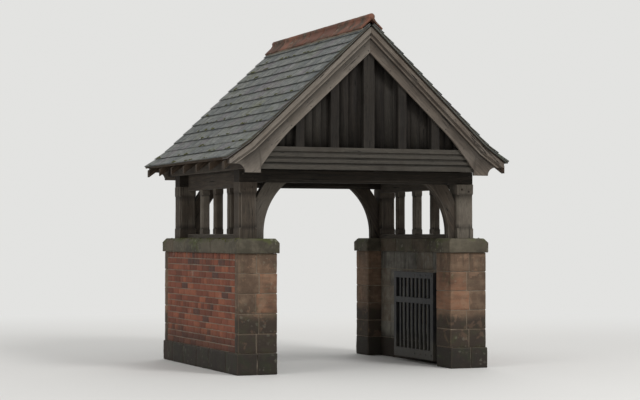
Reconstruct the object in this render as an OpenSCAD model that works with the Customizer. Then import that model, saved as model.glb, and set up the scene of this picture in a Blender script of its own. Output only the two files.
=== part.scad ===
// Lychgate: a small roofed gateway. Two low side walls end in stone piers, oak posts
// stand on the copings, and a steep slated roof with sprocketed eaves spans the passage.
// X runs across the passage, Y from the front to the rear, Z up from the ground.

/* [Passage and walls] */
// Clear width of the passage between the piers
passage_w = 2160; // [1800:10:2800]
// Width of a pier, across the passage
pier_w = 460; // [440:5:560]
// Depth of a pier, along the passage
pier_d = 380; // [350:5:480]
// Depth over the piers, front face to rear face
walls_d = 2750; // [2500:10:3400]
// Thickness of a side wall
wall_t = 280; // [240:5:320]
// Thickness of the brick skin that runs past the outer side of a pier
skin_t = 102; // [90:1:110]
// Thickness of the stone that covers the end of the brick skin
quoin_t = 120; // [80:5:160]
// Height of the dark stone plinth
plinth_h = 240; // [150:5:300]
// Distance that the plinth stands out from the wall above
plinth_out = 15; // [5:1:30]
// Height of the masonry below the coping
masonry_h = 1350; // [1150:10:1500]

/* [Coping] */
// Height of the coping stones
coping_h = 165; // [120:5:200]
// Overhang of the coping
coping_out = 25; // [10:1:40]
// Width of the sloped edge of the coping
coping_slope_w = 40; // [20:1:45]
// Height of the sloped edge of the coping
coping_slope_h = 50; // [20:1:80]

/* [Posts and side screens] */
// Side of a square post
post_s = 210; // [150:5:240]
// Distance from the outer face of the masonry to the post
post_inset_x = 75; // [55:1:90]
// Distance from the end face of the piers to the post
post_inset_y = 170; // [80:5:170]
// Height of the tie beam's underside above the ground
head_h = 2150; // [2050:10:2400]
// Number of mullions in a side screen
mullion_n = 3; // [2:1:5]
// Side of a square mullion
mullion_s = 100; // [60:5:120]
// Distance from the inner face of the post to the screen
screen_inset = 0; // [0:1:30]
// Width of the chamfer on a post's or a tie beam's edges
chamfer_w = 24; // [10:1:32]
// Distance from the end of a post or a tie beam to its chamfers
chamfer_stop = 110; // [80:5:160]
// Width of the chamfer on a mullion's edges
mullion_chamfer_w = 16; // [8:1:22]
// Distance from the end of a mullion to its chamfers
mullion_stop = 55; // [40:5:90]
// Height of the sill timber
sill_h = 50; // [30:5:80]
// Distance that the sill stands out past the mullions
sill_out = 10; // [0:1:15]
// Distance that the head rail hangs below the tie beam's underside
rail_drop = 50; // [20:5:100]

/* [Beams] */
// Height of the tie beam
tie_h = 140; // [100:5:220]
// Thickness of the tie beam
tie_t = 180; // [120:5:190]
// Height of a wall plate
plate_h = 150; // [100:5:200]
// Width of a wall plate
plate_w = 160; // [120:5:200]
// Height of the moulded gable beam
gable_beam_h = 250; // [200:5:300]
// Thickness of the moulded gable beam
gable_beam_t = 120; // [100:5:130]
// Number of rolls on the gable beam's face
roll_n = 4; // [2:1:6]
// Depth of the hollows between the rolls
roll_d = 14; // [6:1:24]

/* [Arch braces] */
// Radius of the brace's inner edge
brace_r = 730; // [600:10:800]
// Depth of the brace, measured along the radius
brace_d = 185; // [150:5:200]
// Width of the brace's foot beside the post
brace_foot_w = 105; // [80:5:130]
// Height of the straight foot of the brace
brace_foot_h = 60; // [30:5:120]
// Thickness of the brace
brace_t = 100; // [70:5:125]
// Width of the chamfer on the edges of the arch
brace_chamfer_w = 18; // [8:1:24]

/* [Roof] */
// Pitch of the main slope, in degrees
pitch = 43; // [40:0.5:48]
// Pitch of the sprocketed eave, in degrees
sprocket_pitch = 35; // [32:0.5:39]
// Horizontal distance from the passage's centre line to the eave
eave_x = 1765; // [1740:5:1900]
// Horizontal width of the sprocketed part
sprocket_w = 315; // [280:5:350]
// Distance that the slates reach past the end faces of the piers
verge_out = 185; // [140:5:220]
// Thickness of the slates with their boarding
slope_t = 60; // [40:1:70]
// Depth of a rafter
rafter_d = 100; // [80:5:130]
// Thickness of a common rafter
rafter_t = 50; // [38:1:70]
// Thickness of a verge rafter
verge_rafter_t = 75; // [50:5:95]
// Number of common rafters on each slope
rafter_n = 5; // [3:1:6]
// Depth of the notch where a rafter sits on the wall plate
seat_d = 25; // [15:1:40]
// Depth of a sprocket's tail
sprocket_d = 70; // [50:5:90]
// Distance from the eave to the sprocket's end
tail_inset = 25; // [10:5:50]
// Thickness of the ridge board
ridge_board_t = 30; // [25:1:50]
// Height of the collars' underside above the wall plates
collar_rise = 590; // [450:10:800]
// Depth of a collar
collar_d = 100; // [70:5:130]
// Thickness of a collar, nailed to the side of its rafters
collar_t = 38; // [30:1:50]
// Distance from a collar's end to the top of the rafter
collar_back = 15; // [10:1:25]
// Clearance between the sloping faces of the rafters and what lies against them
seat_gap = 0.3; // [0.2:0.1:0.5]

/* [Gable] */
// Width of the king post
king_w = 130; // [80:5:180]
// Width of a gable stud
stud_w = 100; // [60:5:120]
// Distance between the centre lines of the studs
stud_step = 420; // [350:10:500]
// Thickness of the gable boards
gable_board_t = 25; // [18:1:40]
// Depth of a bargeboard, square to the slope, above the sweep of its lower edge
barge_d = 210; // [180:5:250]
// Width of the sweep in which the bargeboard deepens down to its foot
barge_sweep_w = 400; // [300:10:500]
// Depth that the sweep adds to the bargeboard, measured upright
barge_sweep_d = 90; // [40:5:110]
// Thickness of a bargeboard
barge_t = 28; // [20:1:35]
// Gap between the two bargeboards of a gable, at the apex
apex_gap = 2; // [1:0.5:4]
// Depth of the moulding planted on the bargeboard, square to the slope
barge_mould_d = 90; // [70:5:110]
// Thickness of the planted moulding
barge_mould_t = 36; // [30:1:40]
// Distance that the slates stand out past the bargeboard's moulding
slate_nose = 25; // [10:1:35]
// Radius of the hollow in the moulding
mould_hollow_r = 24; // [16:1:26]
// Radius of the bead below the hollow
mould_bead_r = 9; // [6:0.5:11]
// Distance from the bargeboard's top edge down to the moulding
mould_drop = 1; // [0.5:0.5:5]
// Width of the open mitre between two lengths of the moulding
mitre_gap = 1; // [0.5:0.5:2]
// Distance from the eave to the bargeboard's end
barge_inset = 65; // [50:5:90]
// Height of the bargeboard's end at the eave
barge_toe_h = 50; // [35:5:60]
// Depth of the shaped foot below the bargeboard's end
barge_foot_d = 95; // [60:5:110]
// Width of the level bottom of the shaped foot
barge_foot_w = 185; // [120:5:200]
// Distance from the eave to the level bottom of the shaped foot
barge_foot_inset = 260; // [240:5:300]

/* [Ridge] */
// Width of a ridge tile's wing, along the slope
ridge_wing = 170; // [120:5:220]
// Thickness of a ridge tile
ridge_tile_t = 22; // [15:1:30]
// Radius of the roll on top of the ridge tiles
ridge_roll_r = 38; // [25:1:50]

/* [Gates] */
// Thickness of a gate leaf
gate_t = 50; // [40:1:60]
// Height of the gate's bottom edge above the ground
gate_low = 60; // [40:5:100]
// Height of the gate's top edge above the ground
gate_high = 1105; // [1000:5:1200]
// Height of the middle rail's centre line
gate_mid = 760; // [650:10:850]
// Width of the hanging stile
hang_stile_w = 80; // [60:5:100]
// Width of the meeting stile
meet_stile_w = 65; // [50:5:90]
// Height of the top rail
top_rail_h = 75; // [60:5:100]
// Height of the middle rail
mid_rail_h = 70; // [50:5:90]
// Height of the bottom rail
bottom_rail_h = 110; // [80:5:140]
// Number of upright bars in a leaf
bar_n = 8; // [5:1:9]
// Width of an upright bar
bar_w = 40; // [25:1:50]
// Thickness of an upright bar
bar_t = 25; // [20:1:35]
// Gap between the two closed leaves
meeting_gap = 10; // [10:1:20]

/* [Gate hinges] */
// Distance from the passage side of the pier to the hinge pin
pin_x = 55; // [55:1:60]
// Distance from the rear side of the front pier to the hinge pin
pin_y = 68; // [66:1:75]
// Radius of the hinge pin
pin_r = 8; // [6:0.5:9]
// Clearance between the pin and the eye of the strap
pin_gap = 0.3; // [0.2:0.1:0.5]
// Wall of the strap's eye
eye_wall = 7; // [5:1:8]
// Distance from the pin to the leaf's edge
leaf_start = 25; // [25:1:30]
// Height of a strap
strap_h = 40; // [30:1:55]
// Thickness of a strap
strap_t = 6; // [4:1:8]
// Length of a strap from the pin
strap_len = 560; // [400:10:700]
// Height of the strap's tip
strap_tip_h = 22; // [16:1:28]
// Width of the plate that holds a hook to the pier
hook_plate_w = 50; // [40:5:50]
// Height of the plate that holds a hook to the pier
hook_plate_h = 110; // [90:5:130]
// Thickness of the plate that holds a hook to the pier
hook_plate_t = 8; // [6:1:10]
// Length of the pin above the strap's eye
pin_top = 10; // [5:1:20]

/* [Hidden] */
$fn = 48;

// Plan: half widths across the passage and half depths along it
passage_x = passage_w / 2;
outer_x = passage_x + pier_w;
wall_x = outer_x - wall_t;
end_y = walls_d / 2;
recess_y = end_y - pier_d;
post_x1 = outer_x - post_inset_x;
post_x0 = post_x1 - post_s;
post_y1 = end_y - post_inset_y;
post_y0 = post_y1 - post_s;
post_y = (post_y0 + post_y1) / 2;
screen_x0 = post_x0 + screen_inset;
screen_x1 = screen_x0 + mullion_s;

// Levels
coping_z = masonry_h + coping_h;
rail_z = head_h - rail_drop;
plate_z = head_h + tie_h;
plate_top = plate_z + plate_h;
gable_beam_top = plate_z + gable_beam_h;
plate_x0 = post_x1 - plate_w;

// Roof planes: the rafters' underside, the slates' underside and the slates' top
rafter_v = rafter_d / cos(pitch);
slope_v = slope_t / cos(pitch);
kink_x = eave_x - sprocket_w;
sprocket_slope_v = slope_t / cos(sprocket_pitch);
tail_x = eave_x - tail_inset;
foot_clear = 15;
foot_x = post_x1 + foot_clear;
function rafter_low(x) = plate_top - seat_d + (post_x1 - x) * tan(pitch);
function rafter_high(x) = rafter_low(x) + rafter_v;
function slope_low(x) = x < kink_x ? rafter_high(x)
    : rafter_high(kink_x) - (x - kink_x) * tan(sprocket_pitch);
slope_kink_z = rafter_high(kink_x) + slope_v;
slope_top_z = rafter_high(0) + slope_v;

// Timbers cut to the rafters' underside: the height of the cut at x, and its x at a height
function seat_z(x) = rafter_low(x) - seat_gap;
function seat_x(z) = post_x1 - (z + seat_gap - plate_top + seat_d) / tan(pitch);

// Verge: planes along the passage, from the slates' edge inwards
verge_y = end_y + verge_out;
barge_y1 = verge_y - slate_nose - barge_mould_t;
barge_y0 = barge_y1 - barge_t;
verge_rafter_y0 = barge_y0 - verge_rafter_t;
gable_beam_y0 = barge_y0 - gable_beam_t;
verge_rafter_y = barge_y0 - verge_rafter_t / 2;
rafter_step = 2 * verge_rafter_y / (rafter_n + 1);

// Bargeboard: its lower edge, and the levels of its end and of its shaped foot
barge_end_x = eave_x - barge_inset;
barge_toe_z = slope_low(barge_end_x) - barge_toe_h;
barge_foot_z = barge_toe_z - barge_foot_d;
barge_foot_x1 = eave_x - barge_foot_inset;
barge_foot_x0 = barge_foot_x1 - barge_foot_w;
barge_apex_x = apex_gap / 2;
barge_sweep_x = barge_foot_x0 - barge_sweep_w;
sweep_n = 12;
function barge_sweep(x) = barge_sweep_d * pow(max(0, x - barge_sweep_x) / barge_sweep_w, 2);
function barge_low(x) = rafter_high(x) - barge_d / cos(pitch) - barge_sweep(x);

// Gates: the pin's place and the leaf's reach from the pin
hinge_x = passage_x + pin_x;
hinge_y = recess_y - pin_y;
leaf_end = hinge_x - meeting_gap / 2;
leaf_x1 = hinge_x - strap_t / 2;
leaf_x0 = leaf_x1 - gate_t;
eye_r = pin_r + pin_gap + eye_wall;
strap_levels = [gate_low + bottom_rail_h / 2, gate_high - top_rail_h / 2];

stone = "rosybrown";
dark_stone = "dimgray";
brick = "sienna";
oak = [0.22, 0.19, 0.17];
iron = [0.10, 0.10, 0.11];

module flip(on, axis) {
    if (on) mirror(axis) children();
    else children();
}

// Pieces are drawn at the right and the rear, and carried to their side and end
module at(side, end) flip(side < 0, [1, 0, 0]) flip(end < 0, [0, 1, 0]) children();

module box(x0, x1, y0, y1, z0, z1)
    translate([x0, y0, z0]) cube([x1 - x0, y1 - y0, z1 - z0]);

// An outline drawn in X and Z, given a thickness from y0 to y1
module slab_y(y0, y1) translate([0, y1, 0]) rotate([90, 0, 0]) linear_extrude(y1 - y0) children();

// An outline drawn in Y and Z, given a length from x0 to x1
module slab_x(x0, x1) translate([x0, 0, 0]) rotate([90, 0, 90]) linear_extrude(x1 - x0) children();

module slab_y_centred(y, t) slab_y(y - t / 2, y + t / 2) children();

// A cutter for one long edge of a timber that stands at the origin: it slopes in at both stops
module edge_cut(length, c, stop) {
    depth = c / sqrt(2);
    rotate([0, 0, 45]) slab_y(-c, c) polygon([
        [-c, stop], [0, stop], [depth, stop + depth], [depth, length - stop - depth],
        [0, length - stop], [-c, length - stop]
    ]);
}

// An upright timber with stop-chamfered edges
module chamfered_timber(w, d, length, c, stop) difference() {
    cube([w, d, length]);
    for (i = [0, 1], j = [0, 1])
        translate([i * w, j * d, 0]) flip(i == 1, [1, 0, 0]) flip(j == 1, [0, 1, 0])
            edge_cut(length, c, stop);
}

module plinth() color(dark_stone) {
    for (end = [-1, 1])
        flip(end < 0, [0, 1, 0])
            box(passage_x, outer_x + plinth_out, recess_y, end_y + plinth_out, 0, plinth_h);
    box(wall_x, outer_x + plinth_out, -recess_y, recess_y, 0, plinth_h);
}

module pier() color(stone) {
    box(passage_x, outer_x - skin_t, recess_y, end_y, plinth_h, masonry_h);
    box(outer_x - skin_t, outer_x, end_y - quoin_t, end_y, plinth_h, masonry_h);
}

module side_wall() color(brick) {
    box(wall_x, outer_x, -recess_y, recess_y, plinth_h, masonry_h);
    box(outer_x - skin_t, outer_x, -end_y + quoin_t, end_y - quoin_t, plinth_h, masonry_h);
}

// Cross-section of a coping between two coordinates, its top edges sloped at b and, if asked, at a
module coping_profile(a, b, slope_a = true) {
    slope_z = coping_z - coping_slope_h;
    a_w = slope_a ? coping_slope_w : 0;
    a_z = slope_a ? slope_z : coping_z;
    polygon([
        [a, masonry_h], [b, masonry_h], [b, slope_z], [b - coping_slope_w, coping_z],
        [a + a_w, coping_z], [a, a_z]
    ]);
}

module coping() color(stone) intersection() {
    union() {
        slab_y(-recess_y, recess_y)
            coping_profile(wall_x - coping_out, outer_x + coping_out, slope_a = false);
        for (end = [-1, 1])
            flip(end < 0, [0, 1, 0])
                slab_y(recess_y - coping_out, end_y + coping_out)
                    coping_profile(passage_x - coping_out, outer_x + coping_out);
    }
    slab_x(0, eave_x) coping_profile(-end_y - coping_out, end_y + coping_out);
}

module post() color(oak) translate([post_x0, post_y0, coping_z])
    chamfered_timber(post_s, post_s, head_h - coping_z, chamfer_w, chamfer_stop);

module sill() color(oak)
    box(screen_x0 - sill_out, screen_x1 + sill_out, -post_y0, post_y0, coping_z, coping_z + sill_h);

module mullions() color(oak) {
    pitch_y = 2 * post_y0 / (mullion_n + 1);
    for (i = [1:mullion_n])
        translate([screen_x0, -post_y0 + i * pitch_y - mullion_s / 2, coping_z + sill_h])
            chamfered_timber(mullion_s, mullion_s, rail_z - coping_z - sill_h,
                mullion_chamfer_w, mullion_stop);
}

module head_rail() color(oak) box(screen_x0, screen_x1, -post_y0, post_y0, rail_z, plate_z);

// The lower edges are chamfered between the posts
module tie_beam() color(oak) difference() {
    box(-post_x1, post_x1, post_y - tie_t / 2, post_y + tie_t / 2, head_h, plate_z);
    for (side = [-1, 1])
        translate([-post_x0, post_y, head_h]) flip(side < 0, [0, 1, 0])
            translate([0, -tie_t / 2, 0]) rotate([90, 0, 90])
                edge_cut(2 * post_x0, chamfer_w, chamfer_stop);
}

module wall_plate() color(oak)
    box(plate_x0, post_x1, -gable_beam_y0, gable_beam_y0, plate_z, plate_top);

// Cross-section of a brace, at its radius from the arch's centre: the arch edge is chamfered
module brace_profile() {
    half_t = brace_t / 2;
    polygon([
        [brace_r, -half_t + brace_chamfer_w], [brace_r + brace_chamfer_w, -half_t],
        [brace_r + brace_d, -half_t], [brace_r + brace_d, half_t],
        [brace_r + brace_chamfer_w, half_t], [brace_r, half_t - brace_chamfer_w]
    ]);
}

// A curved timber from the coping beside the post up to the tie beam's underside
module brace() color(oak) {
    arch_x = brace_r + brace_foot_w;
    centre_z = coping_z + brace_foot_h;
    translate([post_x0 - arch_x, post_y, 0]) {
        intersection() {
            translate([0, 0, centre_z]) rotate([90, 0, 0]) rotate_extrude($fn = 180) brace_profile();
            box(0, arch_x, -brace_t / 2, brace_t / 2, centre_z, head_h);
        }
        translate([0, 0, coping_z]) linear_extrude(brace_foot_h) intersection() {
            brace_profile();
            translate([0, -brace_t / 2]) square([arch_x, brace_t]);
        }
    }
}

// Moulded face: rolls one above another, with hollows between them
module gable_beam() color(oak) intersection() {
    slab_x(-post_x1, post_x1) difference() {
        translate([gable_beam_y0, plate_z]) square([gable_beam_t, gable_beam_h]);
        roll_h = gable_beam_h / roll_n;
        for (i = [1:roll_n - 1])
            translate([barge_y0, plate_z + i * roll_h]) circle(r = roll_d);
    }
    slab_y(gable_beam_y0, barge_y0)
        polygon([
            [-post_x1, plate_z], [post_x1, plate_z], [post_x1, seat_z(post_x1)],
            [seat_x(gable_beam_top), gable_beam_top],
            [-seat_x(gable_beam_top), gable_beam_top], [-post_x1, seat_z(post_x1)]
        ]);
}

// Right-hand half of the triangle between the gable beam and the rafters' underside
module gable_half() polygon([
    [0, gable_beam_top], [seat_x(gable_beam_top), gable_beam_top],
    [ridge_board_t / 2, seat_z(ridge_board_t / 2)], [0, seat_z(ridge_board_t / 2)]
]);

// Uprights from the gable beam to the rafters, a king post in the middle
module gable_frame() color(oak) slab_y(verge_rafter_y0, barge_y0)
    for (side = [-1, 1]) flip(side < 0, [1, 0]) intersection() {
        gable_half();
        for (x = [0, stud_step, 2 * stud_step]) {
            w = x == 0 ? king_w : stud_w;
            translate([x - w / 2, gable_beam_top]) square([w, rafter_high(0) - gable_beam_top]);
        }
    }

module gable_boards() color(oak) slab_y(verge_rafter_y0 - gable_board_t, verge_rafter_y0)
    for (side = [-1, 1]) flip(side < 0, [1, 0]) gable_half();

// Outline of a rafter with the sprocket that carries the eave
module rafter_outline() {
    ridge_x = ridge_board_t / 2;
    tail_v = sprocket_d / cos(sprocket_pitch);
    difference() {
        polygon([
            [ridge_x, rafter_high(ridge_x)], [kink_x, slope_low(kink_x)],
            [tail_x, slope_low(tail_x)], [tail_x, slope_low(tail_x) - tail_v],
            [foot_x, slope_low(foot_x) - tail_v], [foot_x, rafter_low(foot_x)],
            [ridge_x, rafter_low(ridge_x)]
        ]);
        translate([plate_x0, plate_z]) square([plate_w, plate_h]);
    }
}

module rafters() color(oak) {
    for (i = [1:rafter_n]) slab_y_centred(-verge_rafter_y + i * rafter_step, rafter_t) rafter_outline();
    for (end = [-1, 1]) slab_y_centred(end * verge_rafter_y, verge_rafter_t) rafter_outline();
}

module collars() color(oak) {
    z0 = plate_top + collar_rise;
    z1 = z0 + collar_d;
    reach = (rafter_d - collar_back) / sin(pitch);
    low_x = seat_x(z0) + reach;
    high_x = seat_x(z1) + reach;
    for (i = [1:rafter_n]) {
        y0 = -verge_rafter_y + i * rafter_step + rafter_t / 2 + seat_gap;
        slab_y(y0, y0 + collar_t) polygon([[-low_x, z0], [low_x, z0], [high_x, z1], [-high_x, z1]]);
    }
}

module ridge_board() color(oak) slab_y(-barge_y0, barge_y0) {
    ridge_x = ridge_board_t / 2;
    polygon([
        [-ridge_x, rafter_low(ridge_x)], [ridge_x, rafter_low(ridge_x)],
        [ridge_x, rafter_high(ridge_x)], [0, rafter_high(0)], [-ridge_x, rafter_high(ridge_x)]
    ]);
}

// Outline of one bargeboard: it follows the slates to a level end, and its lower edge sweeps
// down to a shaped foot
module barge_outline() difference() {
    polygon([
        [barge_apex_x, rafter_high(barge_apex_x)], [kink_x, slope_low(kink_x)],
        [barge_end_x, slope_low(barge_end_x)],
        [barge_end_x, barge_toe_z], [barge_foot_x1 + barge_foot_d, barge_toe_z],
        [barge_foot_x1 + barge_foot_d, barge_foot_z], [barge_foot_x0, barge_foot_z],
        for (i = [sweep_n:-1:0]) let (x = barge_sweep_x + i * barge_sweep_w / sweep_n) [x, barge_low(x)],
        [barge_apex_x, barge_low(barge_apex_x)]
    ]);
    translate([barge_foot_x1 + barge_foot_d, barge_foot_z]) circle(r = barge_foot_d);
}

// Cross-section of the planted moulding: a fillet, a hollow and a bead, measured down from the slates
module mould_profile() {
    fillet_d = barge_mould_d - 2 * mould_bead_r - mould_hollow_r;
    back_t = barge_mould_t - mould_hollow_r;
    square([barge_mould_d, back_t]);
    difference() {
        square([fillet_d + mould_hollow_r, barge_mould_t]);
        translate([fillet_d + mould_hollow_r, barge_mould_t]) circle(r = mould_hollow_r);
    }
    intersection() {
        translate([barge_mould_d - mould_bead_r, back_t]) circle(r = mould_bead_r);
        square([barge_mould_d, barge_mould_t]);
    }
}

// A long run of the moulding that passes under the slates' change of pitch at the given slope
module mould_run(slope) translate([kink_x, barge_y1, slope_low(kink_x)]) rotate([0, 90 + slope, 0])
    linear_extrude(4 * eave_x, center = true) translate([mould_drop, 0]) mould_profile();

// The two runs of the moulding meet in a mitre at the change of pitch
module barge_mould() {
    mitre = (pitch + sprocket_pitch) / 2;
    reach = 2 * barge_mould_d;
    mitre_x = reach * sin(mitre);
    mitre_z = reach * cos(mitre);
    kink_z = slope_low(kink_x);
    intersection() {
        mould_run(pitch);
        slab_y(barge_y1, verge_y) polygon([
            [barge_apex_x, rafter_high(0) + reach], [kink_x + mitre_x, kink_z + mitre_z],
            [kink_x - mitre_x, kink_z - mitre_z], [barge_apex_x, rafter_high(0) - 2 * reach]
        ]);
    }
    intersection() {
        mould_run(sprocket_pitch);
        slab_y(barge_y1, verge_y) polygon([
            [kink_x + mitre_x + mitre_gap, kink_z + mitre_z], [barge_end_x, kink_z + mitre_z],
            [barge_end_x, barge_toe_z], [kink_x - mitre_x + mitre_gap, barge_toe_z],
            [kink_x - mitre_x + mitre_gap, kink_z - mitre_z]
        ]);
    }
}

module bargeboards() color(oak) for (side = [-1, 1]) flip(side < 0, [1, 0, 0]) {
    slab_y(barge_y0, barge_y1) barge_outline();
    barge_mould();
}

module roof_slope() color("slategray") translate([0, 0, seat_gap]) slab_y(-verge_y, verge_y)
    polygon([
        [0, rafter_high(0)], [kink_x, rafter_high(kink_x)], [eave_x, slope_low(eave_x)],
        [eave_x, slope_low(eave_x) + sprocket_slope_v], [kink_x, slope_kink_z], [0, slope_top_z]
    ]);

// Two wings that lie on the slates, with a roll along the top
module ridge_tiles() color("indianred") translate([0, 0, 2 * seat_gap]) slab_y(-verge_y, verge_y) {
    tile_v = ridge_tile_t / cos(pitch);
    wing_x = ridge_wing * cos(pitch);
    wing_z = slope_top_z - ridge_wing * sin(pitch);
    difference() {
        union() {
            polygon([
                [wing_x, wing_z], [wing_x, wing_z + tile_v], [0, slope_top_z + tile_v],
                [-wing_x, wing_z + tile_v], [-wing_x, wing_z]
            ]);
            translate([0, slope_top_z + tile_v]) circle(r = ridge_roll_r);
        }
        polygon([[0, slope_top_z], [wing_x, wing_z], [-wing_x, wing_z]]);
    }
}

// The right-hand leaf, open against its side wall, from the hinge pin to the rear
module gate_leaf() color(iron) {
    y0 = -hinge_y + leaf_start;
    y1 = -hinge_y + leaf_end;
    bar_x0 = (leaf_x0 + leaf_x1 - bar_t) / 2;
    first_y = y0 + hang_stile_w;
    gap = (y1 - meet_stile_w - first_y - bar_n * bar_w) / (bar_n + 1);
    box(leaf_x0, leaf_x1, y0, first_y, gate_low, gate_high);
    box(leaf_x0, leaf_x1, y1 - meet_stile_w, y1, gate_low, gate_high);
    box(leaf_x0, leaf_x1, y0, y1, gate_low, gate_low + bottom_rail_h);
    box(leaf_x0, leaf_x1, y0, y1, gate_mid - mid_rail_h / 2, gate_mid + mid_rail_h / 2);
    box(leaf_x0, leaf_x1, y0, y1, gate_high - top_rail_h, gate_high);
    for (i = [0:bar_n - 1])
        translate([bar_x0, first_y + gap + i * (bar_w + gap), gate_low])
            cube([bar_t, bar_w, gate_high - gate_low]);
}

// A strap whose eye turns on the hinge pin
module gate_ironwork() color(iron) for (z = strap_levels) translate([hinge_x, -hinge_y, z]) {
    difference() {
        union() {
            translate([0, 0, -strap_h / 2]) cylinder(r = eye_r, h = strap_h);
            slab_x(-strap_t / 2, strap_t / 2) {
                polygon([
                    [0, -strap_h / 2], [strap_len, -strap_tip_h / 2],
                    [strap_len, strap_tip_h / 2], [0, strap_h / 2]
                ]);
                translate([strap_len, 0]) circle(d = strap_tip_h);
            }
        }
        translate([0, 0, -strap_h]) cylinder(r = pin_r + pin_gap, h = 2 * strap_h);
    }
}

// Hooks on plates, on the rear faces of the front piers
module gate_hooks() color(iron) for (side = [-1, 1], z = strap_levels)
    flip(side < 0, [1, 0, 0]) translate([hinge_x, -hinge_y, z]) {
        shank_z = -strap_h / 2 - pin_gap - pin_r;
        translate([-hook_plate_w / 2, -pin_y, shank_z - hook_plate_h / 2])
            cube([hook_plate_w, hook_plate_t, hook_plate_h]);
        translate([0, -pin_y + hook_plate_t / 2, shank_z]) rotate([-90, 0, 0])
            cylinder(r = pin_r, h = pin_y - hook_plate_t / 2);
        translate([0, 0, shank_z - pin_r]) cylinder(r = pin_r, h = pin_r + strap_h + 2 * pin_r + pin_top);
    }

at(-1, 1) plinth();  // left_plinth
at(1, 1) plinth();  // right_plinth
at(-1, -1) pier();  // left_front_pier
at(-1, 1) pier();  // left_rear_pier
at(1, -1) pier();  // right_front_pier
at(1, 1) pier();  // right_rear_pier
at(-1, 1) side_wall();  // left_side_wall
at(1, 1) side_wall();  // right_side_wall
at(-1, 1) coping();  // left_coping
at(1, 1) coping();  // right_coping
at(-1, -1) post();  // left_front_post
at(-1, 1) post();  // left_rear_post
at(1, -1) post();  // right_front_post
at(1, 1) post();  // right_rear_post
at(-1, 1) sill();  // left_sill
at(1, 1) sill();  // right_sill
at(-1, 1) mullions();  // left_mullions
at(1, 1) mullions();  // right_mullions
at(-1, 1) head_rail();  // left_head_rail
at(1, 1) head_rail();  // right_head_rail
at(1, -1) tie_beam();  // front_tie_beam
at(1, 1) tie_beam();  // rear_tie_beam
at(-1, 1) wall_plate();  // left_wall_plate
at(1, 1) wall_plate();  // right_wall_plate
at(-1, -1) brace();  // left_front_brace
at(-1, 1) brace();  // left_rear_brace
at(1, -1) brace();  // right_front_brace
at(1, 1) brace();  // right_rear_brace
at(1, -1) gable_beam();  // front_gable_beam
at(1, 1) gable_beam();  // rear_gable_beam
at(1, -1) gable_frame();  // front_gable_frame
at(1, 1) gable_frame();  // rear_gable_frame
at(1, -1) gable_boards();  // front_gable_boards
at(1, 1) gable_boards();  // rear_gable_boards
at(-1, 1) rafters();  // left_rafters
at(1, 1) rafters();  // right_rafters
collars();
ridge_board();
at(1, -1) bargeboards();  // front_bargeboards
at(1, 1) bargeboards();  // rear_bargeboards
at(-1, 1) roof_slope();  // left_roof_slope
at(1, 1) roof_slope();  // right_roof_slope
ridge_tiles();
at(-1, 1) gate_leaf();  // left_gate_leaf
at(1, 1) gate_leaf();  // right_gate_leaf
at(-1, 1) gate_ironwork();  // left_gate_ironwork
at(1, 1) gate_ironwork();  // right_gate_ironwork
gate_hooks();
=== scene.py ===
"""Looks of the lychgate. Bricks, stones, slates, boards and ridge tiles are set out one by one over the
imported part, and every timber is rounded, worn and given its grain. All sizes are in metres."""
import math
import zlib
from itertools import pairwise

import bmesh
import bpy
import numpy as np
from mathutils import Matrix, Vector, noise


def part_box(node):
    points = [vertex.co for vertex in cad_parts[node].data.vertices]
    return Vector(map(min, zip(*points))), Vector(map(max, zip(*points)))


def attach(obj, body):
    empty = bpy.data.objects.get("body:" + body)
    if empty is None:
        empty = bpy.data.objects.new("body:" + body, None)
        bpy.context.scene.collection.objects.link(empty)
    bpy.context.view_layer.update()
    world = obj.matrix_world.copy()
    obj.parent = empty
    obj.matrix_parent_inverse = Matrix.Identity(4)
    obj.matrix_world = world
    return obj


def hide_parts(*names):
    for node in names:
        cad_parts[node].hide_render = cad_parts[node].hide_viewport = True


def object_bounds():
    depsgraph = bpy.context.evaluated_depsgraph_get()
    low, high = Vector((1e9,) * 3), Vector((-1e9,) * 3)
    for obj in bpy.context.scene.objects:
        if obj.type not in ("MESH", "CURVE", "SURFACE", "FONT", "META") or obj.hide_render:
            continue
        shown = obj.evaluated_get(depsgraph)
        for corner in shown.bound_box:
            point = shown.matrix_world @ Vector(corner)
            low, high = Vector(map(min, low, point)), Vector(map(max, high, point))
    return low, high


noise.seed_set(1)  # or each run would have other noise
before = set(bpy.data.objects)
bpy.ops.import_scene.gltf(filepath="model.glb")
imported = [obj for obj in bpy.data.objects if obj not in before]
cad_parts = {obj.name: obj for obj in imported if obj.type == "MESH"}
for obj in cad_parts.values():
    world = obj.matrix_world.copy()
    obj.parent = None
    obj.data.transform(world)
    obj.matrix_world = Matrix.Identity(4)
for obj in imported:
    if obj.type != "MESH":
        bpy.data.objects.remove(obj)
CAD_BOX = [list(corner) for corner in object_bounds()]


def extent(node):
    """Lowest and highest X, Y and Z of a CAD piece, in pairs."""
    lo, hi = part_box(node)
    return lo.x, hi.x, lo.y, hi.y, lo.z, hi.z


# Places read from the frame, all at the right and the rear
PASSAGE_X, OUTER_X, RECESS_Y, END_Y, PLINTH_TOP, MASONRY_TOP = extent("right_rear_pier")
WALL_X, _, _, SKIN_Y, _, _ = extent("right_side_wall")
_, PLINTH_X, _, PLINTH_Y, GROUND, _ = extent("right_plinth")
COPING_X0, COPING_X1, _, COPING_Y, _, COPING_TOP = extent("right_coping")
POST_X0, POST_X1, _, POST_Y, _, HEAD_Z = extent("right_rear_post")
_, EAVE_X, _, VERGE_Y, _, SLATE_TOP_Z = extent("right_roof_slope")
_, _, BOARDS_Y0, BOARDS_Y1, GABLE_FOOT_Z, GABLE_TOP_Z = extent("rear_gable_boards")
_, _, BARGE_Y0, MOULD_Y, _, _ = extent("rear_bargeboards")
TIE_Y = extent("rear_tie_beam")[3]

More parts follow.
